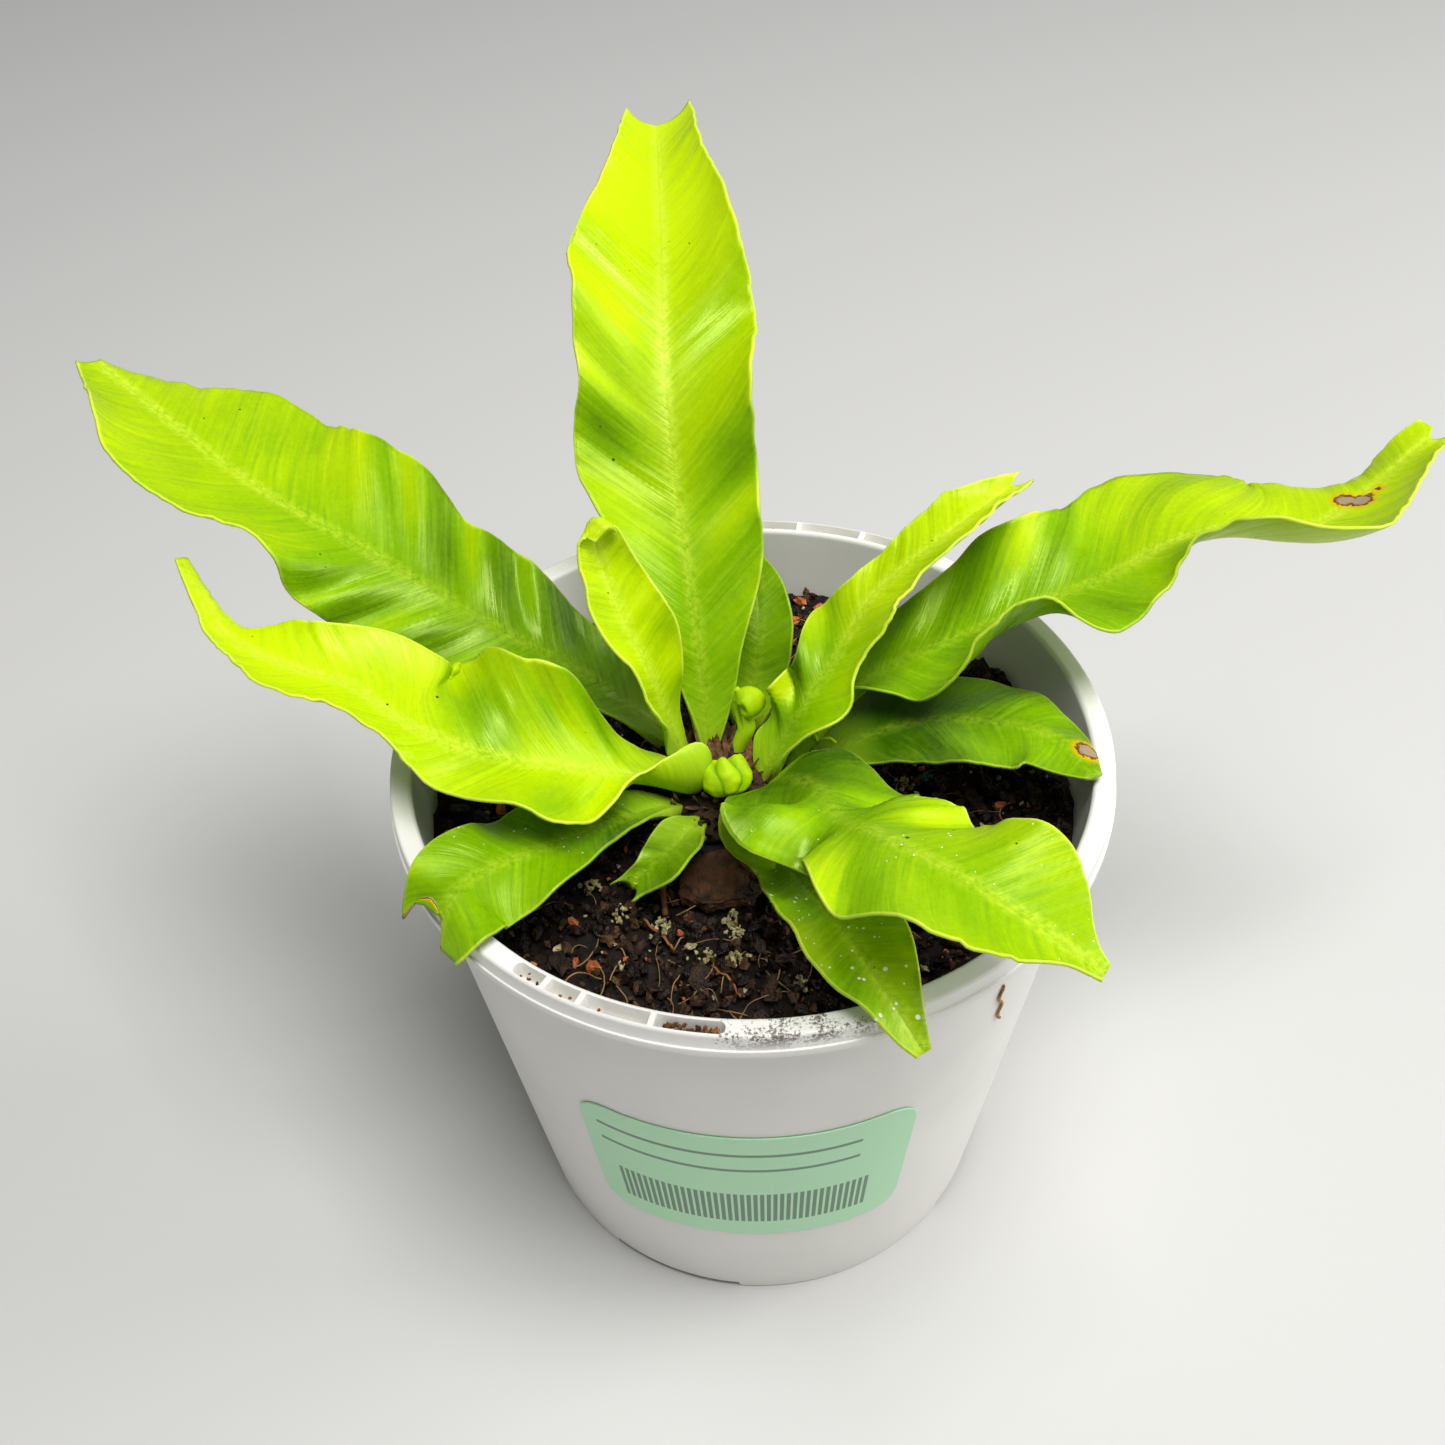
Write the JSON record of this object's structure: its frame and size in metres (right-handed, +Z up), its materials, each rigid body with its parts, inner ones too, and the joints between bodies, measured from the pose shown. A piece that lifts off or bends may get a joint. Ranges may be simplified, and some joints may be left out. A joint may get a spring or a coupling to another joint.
{
  "type": "potted australian birds nest fern",
  "caption": "Young fern with long undivided waved fronds in a loose rosette on a scaly crown, growing in bark mix in a tapered round plastic nursery pot with a thick rim and a plain sticker.",
  "frame": {"origin": "on the pot's axis, in the plane that the foot ring and the base's centre pad stand on", "axes": "+Z up along the pot's axis; +X to the right and -Y towards the viewer of the picture, who looks down at the side with the label"},
  "size_m": [0.2094, 0.1439, 0.1485],
  "materials": {
    "frond_lime": "satin",
    "frond_deep_green": "satin",
    "rhizome": "matte",
    "potting_mix": "matte",
    "bark": "matte",
    "pot_plastic": "satin",
    "label": "satin"
  },
  "bodies": {
    "root": {"frond_back": "frond_lime", "frond_back_left": "frond_lime", "frond_left": "frond_lime", "frond_young_hooked": "frond_lime", "frond_behind": "frond_deep_green", "frond_right_middle": "frond_lime", "frond_right_long": "frond_lime", "frond_right_low": "frond_deep_green", "frond_front_right": "frond_lime", "frond_front": "frond_deep_green", "frond_front_left": "frond_deep_green", "frond_small_forked": "frond_deep_green", "crozier_tall": "frond_lime", "crozier_low": "frond_lime", "crown": "rhizome", "potting_mix": "potting_mix", "bark_chip": "bark", "pot": "pot_plastic", "label": "label"}
  },
  "joints": []
}
